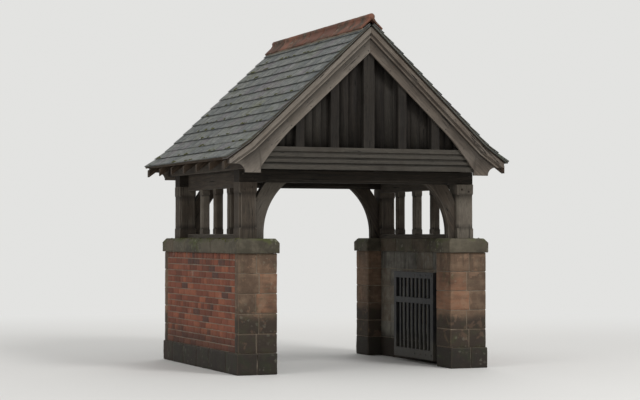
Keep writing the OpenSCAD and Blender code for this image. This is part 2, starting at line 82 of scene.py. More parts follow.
# Sizes that a piece's box doesn't show
PITCH = math.radians(43)
SPROCKET_PITCH = math.radians(35)
SPROCKET_W = 0.315
SLOPE_T = 0.060
BARGE_T = 0.028
STRAP_H = 0.040
BRACE_LEAN = math.radians(28)  # of the grain, on average
SKIN_X = OUTER_X - 0.102  # back of the brick skin

ENDS = (("front", True), ("rear", False))
SIDES = (("left", True), ("right", False))


def rgb(red, green, blue):
    """A display colour from 0 to 255 as the linear colour that a shader takes."""
    return tuple((c / 255) ** 2.2 for c in (red, green, blue)) + (1.0,)


# Meshes

ROUND = 0.004  # radius of a worn arris where nothing else is said
STEP = 0.05  # about how far apart the points on a block's faces lie
SEED_STEPS = (7.3, 3.1, 5.7)  # how far one more seed moves the noise along X, Y and Z


def grid_lines(a, b, r, step):
    """Places along one edge of a block: at both rounded arrises and about every step between them."""
    if step is None or b - a < 2 * step:
        middle = [] if b - a < 6 * r else [(a + b) / 2]
        return np.array([a, a + r, *middle, b - r, b])
    inner = np.linspace(a + r, b - r, max(2, round((b - a) / step) + 1))
    return np.concatenate([[a], inner, [b]])


def block(lo, hi, r=ROUND, step=STEP, z_extra=()):
    """Points, quads and arris marks of a box with rounded edges."""
    lo, hi = np.array(lo, float), np.array(hi, float)
    lines = [grid_lines(a, b, r, step) for a, b in zip(lo, hi)]
    lines[2] = np.unique(np.concatenate([lines[2], z_extra]))
    index = np.full([len(line) for line in lines], -1)
    shell = np.ones(index.shape, bool)
    shell[1:-1, 1:-1, 1:-1] = False
    index[shell] = np.arange(shell.sum())
    points = np.stack(np.meshgrid(*lines, indexing="ij"), -1)[shell]
    quads = []
    for axis in range(3):
        for end in (0, -1):
            sheet = np.take(index, end, axis)
            ring = [sheet[:-1, :-1], sheet[1:, :-1], sheet[1:, 1:], sheet[:-1, 1:]]
            if (end == 0) != (axis == 1):
                ring.reverse()
            quads.append(np.stack([corner.ravel() for corner in ring], -1))
    core = np.clip(points, lo + r, hi - r)
    away = points - core
    length = np.linalg.norm(away, axis=1)
    marks = (length > 1.01 * r).astype(float)
    points = core + away * np.minimum(1, r / np.maximum(length, 1e-9))[:, None]
    return points, np.concatenate(quads).tolist(), marks


def worn(points, depth, size, seed):
    """The points moved by smooth noise of that depth, with waves of about that size."""
    start = Vector([seed * step for step in SEED_STEPS])
    moves = [noise.noise_vector(Vector(p) / size + start) for p in points]
    return points + np.array(moves) * depth


def loft(rings):
    """Points and faces of a solid through closed rings of equal length, with flat ends."""
    n = len(rings[0])
    last = (len(rings) - 1) * n
    faces = [[k + i, k + (i + 1) % n, k + n + (i + 1) % n, k + n + i]
             for k in range(0, last, n) for i in range(n)]
    faces += [list(range(n))[::-1], list(range(last, last + n))]
    return np.concatenate(rings), faces


class Pile:
    """Many closed pieces in one mesh. Each has its own tone, and its arrises are marked for wear. All are
    drawn at the right and the rear, and the pile is mirrored to the left or the front as a whole."""

    def __init__(self, name, flip_x=False, flip_y=False):
        self.name = name
        self.sign = np.array([-1.0 if flip_x else 1.0, -1.0 if flip_y else 1.0, 1.0])
        self.random = np.random.default_rng(zlib.crc32(name.encode()))
        self.points, self.faces, self.tones, self.marks, self.looks = [], [], [], [], []
        self.count = 0

    def pick(self, low, high):
        return self.random.uniform(low, high)

    def wear(self, points, depth, *sizes):
        """The points made uneven by waves of each size in turn, each half as deep as the last."""
        seed = self.pick(0, 100)
        for turn, size in enumerate(sizes):
            points = worn(points, depth / 2 ** turn, size, seed)
        return points

    def add(self, points, faces, marks=None, look=0, tone=None):
        """Adds one closed piece, with a random tone where none is given."""
        self.points.append(points)
        self.faces += [[i + self.count for i in face] for face in faces]
        self.tones.append(np.full(len(points), self.pick(0, 1) if tone is None else tone))
        self.marks.append(np.zeros(len(points)) if marks is None else marks)
        self.looks += [look] * len(faces)
        self.count += len(points)

    def stone(self, lo, hi, r=0.007, wear=(0.003, 0.11, 0.035), tone=None):
        """One dressed stone or brick with worn arrises."""
        points, quads, marks = block(lo, hi, r)
        self.add(self.wear(points, *wear), quads, marks, tone=tone)

    def core(self, lo, hi):
        """Plain mortar behind the set pieces."""
        points, quads, _ = block(lo, hi, 0.001, None)
        self.add(points, quads, look=1, tone=0.0)

    def build(self, looks, slot, *nodes, body="root"):
        """Makes the pile one piece, kept inside the part's box."""
        points = np.clip(np.concatenate(self.points) * self.sign, *CAD_BOX)
        faces = self.faces if self.sign.prod() > 0 else [face[::-1] for face in self.faces]
        mesh = bpy.data.meshes.new(self.name)
        mesh.from_pydata(points.tolist(), [], faces)
        for name, values in (("tone", self.tones), ("edge", self.marks)):
            layer = mesh.attributes.new(name, "FLOAT", "POINT")
            layer.data.foreach_set("value", np.concatenate(values).astype(np.float32))
        for look in looks:
            mesh.materials.append(look)
        mesh.polygons.foreach_set("material_index", self.looks)
        mesh.shade_smooth()
        return place_piece(self.name, mesh, nodes, body)


def new_object(name, data):
    """An object in the scene."""
    obj = bpy.data.objects.new(name, data)
    bpy.context.scene.collection.objects.link(obj)
    return obj


def place_piece(name, mesh, nodes, body):
    """A mesh as a piece that rides on a body and stands for CAD nodes."""
    piece = new_object(name, mesh)
    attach(piece, body)
    if nodes:
        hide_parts(*nodes)
    return piece


# Materials

class Nodes:
    """The node tree of a material or of the world."""

    def __init__(self, owner):
        owner.use_nodes = True
        self.tree = owner.node_tree
        self.tree.nodes.clear()

    def add(self, kind, inputs=(), **settings):
        """A new node. Its inputs are sockets or plain values, by name or number."""
        node = self.tree.nodes.new("ShaderNode" + kind)
        for key, value in settings.items():
            setattr(node, key, value)
        for key, value in dict(inputs).items():
            if isinstance(value, bpy.types.NodeSocket):
                self.tree.links.new(value, node.inputs[key])
            else:
                node.inputs[key].default_value = value
        return node

    def calc(self, operation, *values):
        return self.add("Math", enumerate(values), operation=operation).outputs[0]

    def most(self, value, *others):
        """The greatest of the values."""
        for other in others:
            value = self.calc("MAXIMUM", value, other)
        return value

    def seen(self):
        """1 for rays that see the background: the camera's and those from metal and through glass."""
        rays = self.add("LightPath").outputs
        return self.most(*[rays[f"Is {kind} Ray"] for kind in ("Camera", "Glossy", "Transmission")])


class Paint(Nodes):
    """A material in the making. It starts with one colour, and wash() and over() lay others on it."""

    def __init__(self, name, color=None):
        self.material = bpy.data.materials.new(name)
        super().__init__(self.material)
        self.color = color
        self.place = self.add("TexCoord").outputs["Object"]
        # hollow marks where shade is painted into a timber's creases
        self.tone, self.edge, self.hollow = [self.add("Attribute", attribute_name=mark).outputs["Fac"]
                                             for mark in ("tone", "edge", "hollow")]

    def mix(self, share, a, b):
        return self.add("Mix", {0: share, 6: a, 7: b}, data_type="RGBA").outputs[2]

    def over(self, color, share):
        """Lays a colour over the others by a share from 0 to 1."""
        self.color = self.mix(share, self.color, color)

    def wash(self, value, low, high, color, strength=1.0):
        """Lays a colour over the others where a value is high."""
        self.over(color, self.ramp(value, low, high, 0.0, strength))

    def ramp(self, value, low, high, start=0.0, end=1.0):
        """Goes smoothly from start to end while the value rises from low to high."""
        inputs = {"Value": value, "From Min": low, "From Max": high, "To Min": start, "To Max": end}
        return self.add("MapRange", inputs, interpolation_type="SMOOTHSTEP").outputs["Result"]

    def times(self, a, b):
        return self.calc("MULTIPLY", a, b)

    def total(self, *pairs):
        """The sum of values, each with its weight."""
        result, *others = [self.times(*pair) for pair in pairs]
        for other in others:
            result = self.calc("ADD", result, other)
        return result

    def vector(self, operation, *values):
        return self.add("VectorMath", enumerate(values), operation=operation).outputs[0]

    def stretched(self, factors, vector=None):
        """A place, or another vector, times a factor for each axis."""
        return self.vector("MULTIPLY", vector or self.place, factors)

    def turned(self, vector, angle):
        """A vector turned about Y, at the left as in a mirror."""
        outward = {"X": self.calc("SIGN", self.part("X")), "Y": 1.0, "Z": 1.0}
        vector = self.stretched(self.add("CombineXYZ", outward).outputs[0], vector)
        inputs = {"Vector": vector, "Angle": angle}
        return self.add("VectorRotate", inputs, rotation_type="Y_AXIS").outputs[0]

    def part(self, axis, vector=None):
        """One coordinate of a place, or of another vector."""
        return self.add("SeparateXYZ", {0: vector or self.place}).outputs["XYZ".index(axis)]

    def noise(self, size, place=None, detail=4.0, rough=0.55, twist=0.0, output="Fac"):
        """Noise from 0 to 1 with features of about that size."""
        inputs = {"Vector": place or self.place, "Scale": 1 / size, "Detail": detail,
                  "Roughness": rough, "Distortion": twist}
        return self.add("TexNoise", inputs).outputs[output]

    def cells(self, size, place=None):
        """Cells of about that size, each with its own colour. Distance is in cell widths."""
        return self.add("TexVoronoi", {"Vector": place or self.place, "Scale": 1 / size}).outputs

    def crusts(self, color, spacing, share):
        """Lays ragged round patches of a colour over the others, about that far apart."""
        wander = self.noise(spacing / 2.5, detail=3.0, rough=0.5, output="Color")
        place = self.vector("ADD", self.place, self.stretched((0.7 * spacing,) * 3, wander))
        cells = self.cells(spacing, place)
        reach = self.calc("POWER", self.part("X", cells["Color"]), 2.0)
        rim = self.calc("SUBTRACT", cells["Distance"], self.times(reach, 0.5))
        self.over(color, self.times(self.ramp(rim, -0.04, 0.05, 1.0, 0.0), share))

    def streaks(self, strength):
        """Dark runs down the masonry from under the coping."""
        lines = self.noise(0.05, self.stretched((1.0, 1.0, 0.08)), detail=3)
        fade = self.ramp(self.part("Z"), MASONRY_TOP - STREAK_H, MASONRY_TOP)
        return self.times(self.ramp(lines, 0.42, 0.7, 0.0, strength), fade)

    def finish(self, rough, height, relief, specular=0.3):
        """The material, with the height's relief given in metres."""
        bump = self.add("Bump", {"Height": height, "Distance": relief, "Strength": 1.0})
        inputs = {"Base Color": self.color, "Roughness": rough, "Normal": bump.outputs["Normal"],
                  "Specular IOR Level": specular}
        surface = self.add("BsdfPrincipled", inputs)
        self.add("OutputMaterial", {"Surface": surface.outputs[0]})
        return self.material


STREAK_H = 0.5
# soot on the stone and brick, and painted shade in the verge mortar and between moss tufts
SOOT_AND_SHADE = rgb(46, 42, 38)
ALGAE = rgb(42, 46, 35)
# dark of the timber's cracks, and of the painted shade in its creases
CRACK_AND_SHADE = rgb(20, 18, 16)
RUST = rgb(86, 50, 32)
DUST = rgb(78, 74, 64)
END_GRAIN = rgb(38, 33, 29)
MOSS = rgb(70, 74, 42)
LICHEN = rgb(128, 127, 112)


def masonry(name, colors, moss, foot=0.0, bedding=0.0, spalls=0.0, relief=0.004):
    """Weathered stone: colors are dark, middle, light and an odd block's. foot is the height of the sooty
    base, and spalls the strength of patches where the face has come away."""
    dark, middle, light, odd = [rgb(*color) for color in colors]
    p = Paint(name, dark)
    broad = p.noise(0.45, detail=3)
    grain = p.noise(0.012, detail=6, rough=0.7)
    blotch = p.noise(0.09, detail=5)
    beds = p.noise(0.03, p.stretched((0.12, 0.12, 1.0)), detail=3)
    p.wash(p.tone, 0.1, 0.8, middle)
    p.wash(p.tone, 0.82, 0.86, odd)
    p.wash(blotch, 0.35, 0.75, light, 0.65)
    p.wash(beds, 0.4, 0.7, dark, bedding)
    p.wash(grain, 0.3, 0.8, p.mix(0.5, p.color, SOOT_AND_SHADE), 0.45)
    soot = p.ramp(broad, 0.42, 0.72, 0.0, 0.6)
    if foot:
        height = p.total((p.part("Z"), 1.0), (broad, -0.35), (blotch, -0.15))
        soot = p.most(soot, p.ramp(height, foot - 0.32, foot - 0.18, 0.85, 0.0), p.streaks(0.6))
    p.over(p.mix(p.ramp(blotch, 0.45, 0.65, 0.0, 0.7), SOOT_AND_SHADE, ALGAE), soot)
    spall = p.ramp(p.noise(0.15, detail=6, rough=0.62, twist=0.4), 0.57, 0.6)
    fresh = p.ramp(soot, 0.1, 0.8, 0.6 * spalls, 0.25 * spalls)
    p.over(p.mix(0.6, odd, light), p.times(spall, fresh))
    up = p.part("Z", p.add("NewGeometry").outputs["Normal"])
    patch = p.total((broad, 0.5), (blotch, 0.5), (up, 0.16 * moss))
    p.wash(patch, 0.62 - 0.12 * moss, 0.8 - 0.1 * moss, MOSS, 0.85)
    p.crusts(LICHEN, 0.045, p.ramp(broad, 0.46, 0.62, 0.0, 0.15 + 0.35 * moss))
    p.over(light, p.times(p.edge, 0.35))
    pits = p.ramp(p.cells(0.02)["Distance"], 0.0, 0.35)
    height = p.total((grain, 0.5), (blotch, 0.5), (pits, 0.25), (beds, 0.3 * bedding),
                     (spall, -0.6 * spalls))
    return p.finish(p.ramp(grain, 0.2, 0.8, 0.8, 0.96), height, relief)


def brickwork():
    """Hand-made facing brick: each brick has its own burn, with soot and pale bloom."""
    p = Paint("brick", rgb(98, 58, 45))
    grain = p.noise(0.006, detail=6, rough=0.7)
    blotch = p.noise(0.06)
    broad = p.noise(0.5, detail=3)
    p.wash(p.tone, 0.05, 0.5, rgb(121, 71, 54))
    p.wash(p.tone, 0.55, 0.9, rgb(138, 84, 62))
    p.wash(p.tone, 0.93, 0.95, rgb(78, 57, 51))
    p.wash(blotch, 0.4, 0.75, rgb(104, 67, 54), 0.5)
    p.wash(grain, 0.4, 0.8, rgb(66, 48, 42), 0.4)
    foot = p.ramp(p.total((p.part("Z"), 1.0), (broad, -0.4)), 0.1, 0.35, 0.6, 0.0)
    p.over(SOOT_AND_SHADE, p.most(foot, p.ramp(broad, 0.5, 0.75, 0.0, 0.45), p.streaks(0.55)))
    p.crusts(rgb(150, 138, 124), 0.11, p.ramp(broad, 0.4, 0.56, 0.35, 0.0))
    p.over(rgb(136, 100, 82), p.times(p.edge, 0.3))
    return p.finish(p.ramp(grain, 0.2, 0.8, 0.8, 0.95), p.total((grain, 0.6), (blotch, 0.4)), 0.0025)


def mortar():
    """Lime mortar, gritty and stained, and darker where its tone is high: painted shade in the verges, and
    random darkening in the ridge's bedding.
    """
    p = Paint("mortar", rgb(112, 102, 90))
    grit = p.noise(0.004, detail=5, rough=0.75)
    p.wash(grit, 0.3, 0.7, rgb(148, 138, 122))
    p.wash(p.noise(0.3), 0.4, 0.75, rgb(74, 68, 58), 0.6)
    # painted shade where the tone is 1, under the verge slates
    p.wash(p.tone, 0.0, 1.0, SOOT_AND_SHADE, 0.75)
    return p.finish(0.95, grit, 0.002)


def slates():
    """Riven slate, each with its own tint, with moss along the lower edges and lichen."""
    p = Paint("slate", rgb(62, 67, 68))
    riven = p.noise(0.05, p.stretched((1.0, 0.45, 1.0)), detail=6, rough=0.6, twist=0.6)
    fine = p.noise(0.006, detail=5, rough=0.7)
    p.over(rgb(102, 104, 99), p.tone)
    p.wash(p.tone, 0.84, 0.9, rgb(85, 81, 84))
    p.wash(riven, 0.35, 0.7, rgb(60, 64, 62), 0.5)
    p.wash(fine, 0.45, 0.8, rgb(118, 119, 112), 0.4)
    patch = p.total((p.noise(0.55), 0.6), (p.noise(0.05, detail=5), 0.4), (p.edge, 0.05))
    p.wash(patch, 0.53, 0.68, rgb(76, 80, 54), 0.8)
    p.crusts(LICHEN, 0.05, p.ramp(p.noise(0.9, detail=3), 0.4, 0.6, 0.0, 0.45))
    p.over(rgb(112, 114, 108), p.times(p.edge, 0.4))
    height = p.total((riven, 1.0), (fine, 0.25), (p.ramp(patch, 0.52, 0.66), 0.5))
    return p.finish(p.ramp(riven, 0.3, 0.7, 0.5, 0.75), height, 0.003, specular=0.45)


def clay():
    """Ridge tiles of red clay, dark with age, with lichen."""
    p = Paint("ridge_clay", rgb(92, 63, 53))
    grain = p.noise(0.008, detail=5, rough=0.7)
    broad = p.noise(0.16, detail=5)
    p.over(rgb(128, 86, 69), p.tone)
    p.wash(grain, 0.35, 0.8, rgb(78, 60, 51), 0.5)
    p.wash(broad, 0.42, 0.68, rgb(62, 56, 46), 0.85)
    p.crusts(LICHEN, 0.045, p.ramp(broad, 0.42, 0.56, 0.0, 0.65))
    p.over(rgb(160, 108, 84), p.times(p.edge, 0.4))
    return p.finish(0.8, p.total((grain, 0.5), (broad, 0.5)), 0.003)


def growth():
    """Cushions of moss, with painted shade between their tufts."""
    p = Paint("moss", rgb(66, 70, 34))
    tufts = p.noise(0.004, rough=0.7)
    p.over(rgb(92, 92, 48), p.tone)
    # painted shade in the low parts between the tufts
    p.over(p.mix(0.5, p.color, SOOT_AND_SHADE), p.ramp(tufts, 0.35, 0.7, 1.0, 0.0))
    return p.finish(0.95, tufts, 0.003)


FIBRE_SHARE, SPLIT_SHARE = 0.06, 0.018  # how much the noise is drawn out along the grain


def timber(name, colors, run, weather, lean=0.0):
    """Old timber with its grain along X, Y or Z, or down the slope at the lean's angle. colors are dark,
    light and the weathered face's."""
    dark, light, grey = [rgb(*color) for color in colors]
    p = Paint(name, dark)
    place, normal = p.place, p.add("NewGeometry").outputs["Normal"]
    if lean:
        place, normal = p.turned(place, lean), p.turned(normal, lean)
    place = p.vector("ADD", place, p.times(p.tone, 40.0))
    fibres, splits = [p.stretched([share if axis == run else 1.0 for axis in "XYZ"], place)
                      for share in (FIBRE_SHARE, SPLIT_SHARE)]
    fibre = p.noise(0.003, fibres, detail=3, rough=0.6)
    figure = p.noise(0.03, fibres, detail=3, twist=1.2)
    rings = p.calc("SINE", p.times(figure, 48.0))
    broad = p.noise(0.3)
    split = p.calc("ABSOLUTE", p.calc("SUBTRACT", p.noise(0.045, splits, detail=2), 0.5))
    cut_end = p.ramp(p.calc("ABSOLUTE", p.part(run, normal)), 0.6, 0.85)
    cracks = p.times(p.ramp(split, 0.003, 0.012, 1.0, 0.0), p.ramp(broad, 0.48, 0.58))
    cracks = p.times(cracks, p.calc("SUBTRACT", 1.0, cut_end))
    p.wash(figure, 0.3, 0.7, light)
    p.wash(rings, -1.0, 1.0, dark, 0.35)
    age = p.total((broad, 0.8), (p.tone, 0.5), (fibre, 0.5))
    p.over(grey, p.ramp(age, 0.72, 1.15, 0.2 * weather, 1.1 * weather))
    p.wash(fibre, 0.35, 0.7, dark, 0.5)
    p.over(END_GRAIN, p.times(cut_end, 0.6))
    p.over(grey, p.times(p.edge, p.ramp(broad, 0.35, 0.6, 0.1, 0.6)))
    # painted shade in the concave creases, such as the moulding's cove
    p.over(CRACK_AND_SHADE, p.times(p.hollow, 0.75))
    p.over(CRACK_AND_SHADE, cracks)
    height = p.total((fibre, 0.35), (rings, 0.12), (cracks, -1.2), (broad, 0.3))
    return p.finish(p.ramp(fibre, 0.2, 0.8, 0.72, 0.92), height, 0.003, specular=0.22)


def coated(name, coat, bare, rough, rust=0.0, dirt=0.0):
    """Painted timber or iron: the coat is worn off arrises and in flakes, over rust or under dust."""
    p = Paint(name, coat)
    fine = p.noise(0.01, detail=5)
    broad = p.noise(0.12)
    brushed = p.noise(0.008, p.stretched((1.0, 1.0, 0.06)))
    flakes = p.times(p.ramp(p.noise(0.02, detail=6, rough=0.65), 0.6, 0.63), p.ramp(broad, 0.45, 0.6))
    p.wash(broad, 0.4, 0.7, bare, 0.5)
    p.over(bare, p.times(flakes, 0.6))
    p.wash(p.total((broad, 0.6), (fine, 0.4)), 0.54, 0.66, RUST, rust)
    height = p.total((p.part("Z"), 1.0), (broad, -0.3))
    p.over(DUST, p.ramp(height, -0.02, 0.3, dirt, 0.0))
    p.over(bare, p.times(p.edge, p.ramp(fine, 0.4, 0.7, 0.1, 0.7)))
    height = p.total((fine, 0.4), (broad, 0.4), (brushed, 0.4), (flakes, -0.3))
    return p.finish(p.ramp(fine, 0.2, 0.8, rough - 0.1, rough + 0.15), height, 0.0015, specular=0.4)


SANDSTONE = masonry("sandstone", ((90, 73, 60), (116, 93, 75), (132, 111, 92), (130, 94, 73)),
                    moss=0.25, foot=0.62, bedding=0.5, spalls=0.8)
PLINTH_STONE = masonry("plinth_stone", ((52, 45, 41), (66, 57, 50), (84, 74, 65), (76, 56, 46)),
                       moss=0.3, foot=0.5, spalls=0.4)
GREY_STONE = masonry("grey_stone", ((100, 97, 90), (120, 116, 107), (140, 136, 126), (108, 98, 85)),
                     moss=0.35, foot=0.35, bedding=0.3, spalls=0.5)
COPING_STONE = masonry("coping_stone", ((68, 64, 54), (86, 80, 68), (104, 97, 84), (80, 70, 58)),
                       moss=0.85, relief=0.005)
BRICK = brickwork()
MORTAR = mortar()
SLATE = slates()
TUFTS = growth()
CLAY = clay()
OAK = ((44, 38, 33), (74, 64, 54), (100, 95, 87))
OAK_UP = timber("oak_upright", (*OAK[:2], (114, 107, 97)), "Z", 0.8)
OAK_ALONG = timber("oak_along", OAK, "Y", 0.5)
OAK_CURVED = timber("oak_curved", OAK, "Z", 0.6, lean=BRACE_LEAN)
OAK_SHADED = timber("oak_shaded", ((30, 27, 23), (52, 45, 38), (66, 62, 56)), "X", 0.5)
OAK_BEAM = timber("oak_beam", ((38, 34, 30), (64, 57, 49), (84, 81, 75)), "X", 0.6)
ROOF_WOOD = ((46, 38, 31), (82, 66, 52), (92, 84, 74))
ROOF_SLOPED = timber("roof_sloped", ROOF_WOOD, "X", 0.3, lean=-PITCH)
ROOF_ACROSS = timber("roof_across", ROOF_WOOD, "X", 0.3)
ROOF_ALONG = timber("roof_along", ROOF_WOOD, "Y", 0.3)
GABLE_UP = timber("gable_upright", ((28, 25, 23), (48, 43, 38), (64, 61, 56)), "Z", 0.5)
BARGE = timber("barge", ((70, 62, 55), (112, 101, 90), (132, 125, 116)), "X", 0.7, lean=-PITCH)
GATE = coated("gate_black", rgb(19, 20, 23), rgb(43, 41, 38), 0.55, dirt=0.45)
IRON = coated("iron_black", rgb(24, 24, 26), rgb(58, 50, 45), 0.5, rust=0.8)


# Masonry

JOINT = 0.006
CORE_BACK = 0.007  # from the face of the stones or bricks to the mortar between them
CLEAR = 0.001  # keeps the faces of two pieces out of one plane
BASE_COURSE = 0.215
COURSE_COUNT = 5
LEVELS = [PLINTH_TOP, *np.linspace(PLINTH_TOP + BASE_COURSE, MASONRY_TOP, COURSE_COUNT)]
PIER_SPLITS = (0.245, 0.215, 0.25, 0.21, 0.24)
WARM_STONES = {"left_front_pier": (2, 3)}  # courses whose stone beside the passage is of a warmer bed
SHADED_PIERS = ("left_front_pier",)  # piers whose outer stones are all painted darker, as shade
WARM_TONE, SHADE_TONE = 0.9, 0.05


def pier(name, flip_x, flip_y):
    """Ashlar pier: an upright joint divides each course near the middle."""
    pile = Pile(name + "_ashlar", flip_x, flip_y)
    half = JOINT / 2
    splits = PIER_SPLITS if flip_x == flip_y else PIER_SPLITS[::-1]
    # the outer stones of a shaded pier get a low tone: painted shade
    outer_tone = SHADE_TONE if name in SHADED_PIERS else None
    for course, ((z0, z1), split) in enumerate(zip(pairwise(LEVELS), splits)):
        low, high = z0 + half, z1 - half
        tone = WARM_TONE if course in WARM_STONES.get(name, ()) else None
        pile.stone((PASSAGE_X, RECESS_Y, low), (PASSAGE_X + split - half, END_Y, high), tone=tone)
        pile.stone((PASSAGE_X + split + half, SKIN_Y, low), (OUTER_X, END_Y, high), tone=outer_tone)
    far_y = END_Y - CORE_BACK
    pile.core((PASSAGE_X + CORE_BACK, RECESS_Y + CORE_BACK, PLINTH_TOP), (SKIN_X, far_y, MASONRY_TOP))
    pile.core((SKIN_X, SKIN_Y + CLEAR, PLINTH_TOP), (OUTER_X - CORE_BACK, far_y, MASONRY_TOP))
    pile.build([SANDSTONE, MORTAR], "sandstone", name)


def run_of(pile, shortest, longest):
    """Ends of stones of uneven lengths between the piers."""
    places = [-RECESS_Y]
    while RECESS_Y - places[-1] > longest:
        room = RECESS_Y - places[-1] - shortest
        places.append(places[-1] + min(pile.pick(shortest, longest), room))
    return pairwise(places + [RECESS_Y])


PLINTH_SPLITS = (0.2, 0.26)  # least and greatest length of the stone beside the passage
PLINTH_RUN = (0.42, 0.62)
PLINTH_WEAR = (0.012, (0.004, 0.11, 0.035))  # radius of the arrises, then the depth and sizes of the waves


def plinth(name, flip_x):
    """Large stones at the foot: two under each pier, side by side, and a run under the wall."""
    pile = Pile(name + "_stones", flip_x)
    half = JOINT / 2
    for end in (-1, 1):
        near, far = sorted((end * RECESS_Y, end * PLINTH_Y))
        split = PASSAGE_X + pile.pick(*PLINTH_SPLITS)
        pile.stone((PASSAGE_X, near, GROUND), (split - half, far, PLINTH_TOP), *PLINTH_WEAR)
        pile.stone((split + half, near, GROUND), (PLINTH_X, far, PLINTH_TOP), *PLINTH_WEAR)
    for y0, y1 in run_of(pile, *PLINTH_RUN):
        pile.stone((WALL_X, y0 + half, GROUND), (PLINTH_X, y1 - half, PLINTH_TOP), *PLINTH_WEAR)
    inset = 2 * CORE_BACK
    pile.core((WALL_X + inset, -PLINTH_Y + inset, GROUND),
              (PLINTH_X - inset, PLINTH_Y - inset, PLINTH_TOP - half))
    pile.build([PLINTH_STONE, MORTAR], "plinth_stone", name)


BRICK_COURSES = 15
STRETCHERS = 11
HEADER_COURSE = 4  # every fourth course is headers
BRICK_JOINT = 0.009
BRICK_DEPTH = 0.085
BRICK_BACK = 0.0025  # how far a face may lie back
BRICK_NUDGE = 0.001
BRICK_WEAR = (ROUND, (0.0022, 0.03))


def brick_lengths(course):
    """Lengths of the bricks in a course, from one end of the skin to the other."""
    stretcher = 2 * SKIN_Y / STRETCHERS
    half = stretcher / 2
    if course % HEADER_COURSE == 2:
        return [half / 2] + [half] * (2 * STRETCHERS - 1) + [half / 2]
    if course % 2:
        return [half] + [stretcher] * (STRETCHERS - 1) + [half]
    return [stretcher] * STRETCHERS


def brick_skin(name, flip_x):
    """The outside of a side wall, between the plinth and the coping."""
    pile = Pile(name + "_bricks", flip_x)
    height = (MASONRY_TOP - PLINTH_TOP) / BRICK_COURSES
    half = BRICK_JOINT / 2
    for course in range(BRICK_COURSES):
        z0 = PLINTH_TOP + course * height
        y0 = -SKIN_Y
        for length in brick_lengths(course):
            face = OUTER_X - pile.pick(0.0, BRICK_BACK)
            nudge = pile.pick(-BRICK_NUDGE, BRICK_NUDGE)
            lo = (face - BRICK_DEPTH, y0 + half + nudge, z0 + half)
            hi = (face, y0 + length - half + nudge, z0 + height - half)
            pile.stone(lo, hi, *BRICK_WEAR)
            y0 += length
    pile.core((SKIN_X, -SKIN_Y, PLINTH_TOP), (OUTER_X - CORE_BACK, SKIN_Y, MASONRY_TOP))
    pile.build([BRICK, MORTAR], "brick", name)


LINING_RUN = (0.3, 0.56)


def lining(name, flip_x):
    """Coursed grey stone on a wall's side towards the passage."""
    pile = Pile(name + "_lining", flip_x)
    half = JOINT / 2
    for z0, z1 in pairwise(LEVELS):
        for y0, y1 in run_of(pile, *LINING_RUN):
            pile.stone((WALL_X, y0 + half, z0 + half), (SKIN_X, y1 - half, z1 - half))
    pile.core((WALL_X + CORE_BACK, -RECESS_Y, PLINTH_TOP), (SKIN_X, RECESS_Y, MASONRY_TOP))
    pile.build([GREY_STONE, MORTAR], "sandstone")


COPING_SLOPE_W, COPING_SLOPE_H = 0.040, 0.050
COPING_JOINT = 0.010
COPING_STONES = 4  # on the wall, between the caps
COPING_CORE_IN = 0.012
CAP_IN_Y = RECESS_Y - (COPING_Y - END_Y)


def coping_stone(pile, lo, hi, slopes):
    """A coping stone whose upper edges slope in on the chosen sides: low X, high X, low Y, high Y."""
    turn_z = hi[2] - COPING_SLOPE_H
    points, quads, marks = block(lo, hi, 0.008, z_extra=[turn_z])
    rise = np.clip((points[:, 2] - turn_z) / COPING_SLOPE_H, 0, 1)
    for axis, (at_low, at_high) in enumerate((slopes[:2], slopes[2:])):
        share = (points[:, axis] - lo[axis]) / (hi[axis] - lo[axis])
        inward = rise * COPING_SLOPE_W
        points[:, axis] += inward * (at_low * (1 - share) - at_high * share)
    points = pile.wear(points, 0.003, 0.1, 0.03)
    points[:, 2] = np.minimum(points[:, 2], hi[2])
    pile.add(points, quads, marks)


def coping(name, flip_x):
    """A square cap on each pier and a run of stones on the wall between."""
    pile = Pile(name + "_stones", flip_x)
    half = COPING_JOINT / 2
    for end in (-1, 1):
        near, far = sorted((end * CAP_IN_Y, end * COPING_Y))
        slopes = (1, 1, end < 0, end > 0)
        coping_stone(pile, (COPING_X0, near, MASONRY_TOP), (COPING_X1, far, COPING_TOP), slopes)
    inner_x = WALL_X - (COPING_X1 - OUTER_X)
    for y0, y1 in pairwise(np.linspace(-CAP_IN_Y, CAP_IN_Y, COPING_STONES + 1)):
        lo, hi = (inner_x, y0 + half, MASONRY_TOP), (COPING_X1, y1 - half, COPING_TOP)
        coping_stone(pile, lo, hi, (0, 1, 0, 0))
    pile.core((inner_x + COPING_CORE_IN, -CAP_IN_Y, MASONRY_TOP),
              (COPING_X1 - COPING_SLOPE_W - COPING_CORE_IN, CAP_IN_Y, COPING_TOP - COPING_CORE_IN / 2))
    pile.build([COPING_STONE, MORTAR], "coping_stone", name)


# Timbers

WELD = 1e-5
FLAT = math.radians(0.5)
ROUNDED = math.radians(25)  # edges that turn more than this get a rounded arris
CREASED = math.radians(35)  # edges that turn more than this stay sharp
DEEP = math.radians(12)  # turn between two faces that gives a crease its full painted shade
HEWN_WAVES = 0.16
HEWN_SEEDS = 97
SHADED_AND_LIT_POST_TONES = {"right_front_post": 0.9, "left_front_post": 0.15}  # these two aren't drawn at random: the left post is painted darker as shade, the right one lighter as light
